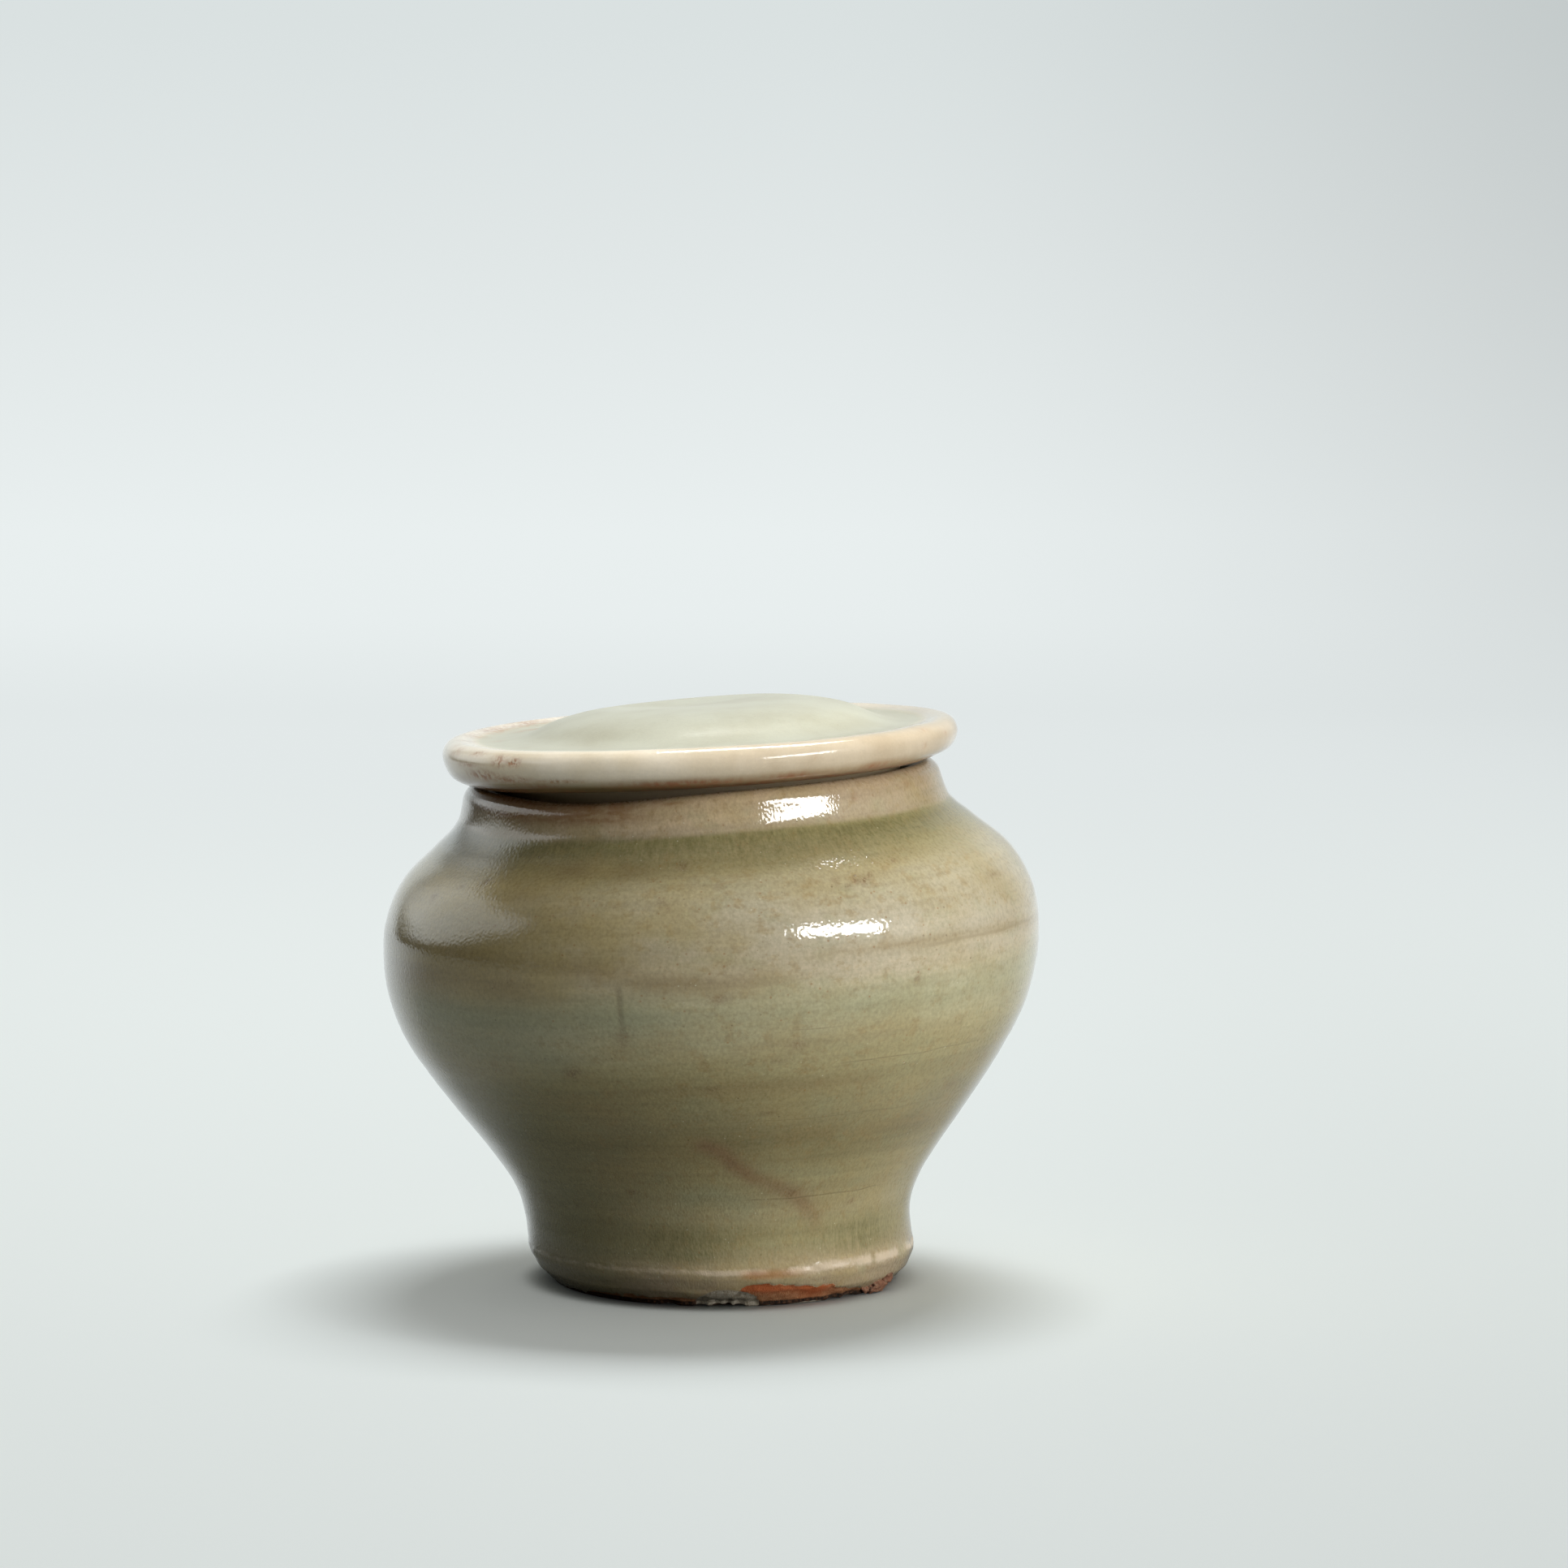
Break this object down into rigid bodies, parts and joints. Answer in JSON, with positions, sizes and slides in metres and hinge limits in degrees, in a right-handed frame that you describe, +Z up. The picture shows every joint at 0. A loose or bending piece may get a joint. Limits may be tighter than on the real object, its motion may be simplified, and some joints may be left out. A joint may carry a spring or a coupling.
{
  "type": "celadon jar",
  "caption": "Wheel-thrown celadon stoneware jar with a broad shoulder, narrow turned foot and wide mouth, closed by a lift-off lid with a rolled rim and a low dome.",
  "frame": {"origin": "on the table, under the middle of the jar's greatest width", "axes": "+Z up, -Y towards the viewer in the picture, the jar leans towards -X"},
  "size_m": [0.08, 0.08, 0.0713],
  "materials": {
    "jar_glaze": "glossy grey-green and brown celadon glaze, bare reddish clay at the foot",
    "lid_glaze": "glossy pale celadon glaze, cream on the rolled rim, with rust spots"
  },
  "bodies": {
    "jar": {"jar_body": "jar_glaze"},
    "lid": {"lid": "lid_glaze"}
  },
  "joints": [
    {"name": "lid_lift", "type": "slide", "parent": "jar", "child": "lid", "axis": [-0.0576, 0, 0.9983], "range_m": [0, 0.08]}
  ]
}
